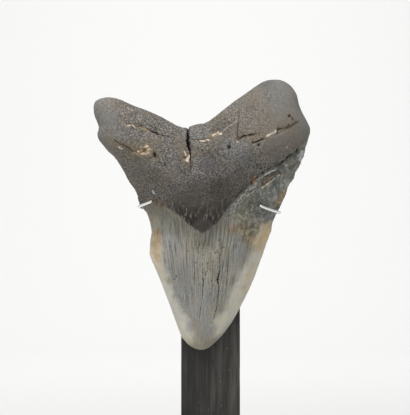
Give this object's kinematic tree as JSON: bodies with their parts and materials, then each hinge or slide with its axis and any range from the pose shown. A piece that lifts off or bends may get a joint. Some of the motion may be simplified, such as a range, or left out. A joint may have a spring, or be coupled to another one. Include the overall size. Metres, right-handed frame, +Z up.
{
  "type": "fossil shark tooth on a stand",
  "caption": "Large fossil shark tooth, root up and tip down, held by bent wire prongs in front of a square dark wooden post on a foot.",
  "frame": {"origin": "centre of the foot's underside", "axes": "+Z up along the post, the tooth's display face looks along -Y, +X to the right seen from the front"},
  "size_m": [0.0986, 0.076, 0.1852],
  "materials": {
    "fossil": "porous matt root, satin enamel",
    "dark_wood": "open-pored, dark stained, matt",
    "white_metal": "bright drawn wire"
  },
  "bodies": {
    "root": {"tooth": "fossil", "post": "dark_wood", "foot": "dark_wood", "left_prong": "white_metal", "right_prong": "white_metal"}
  },
  "joints": []
}
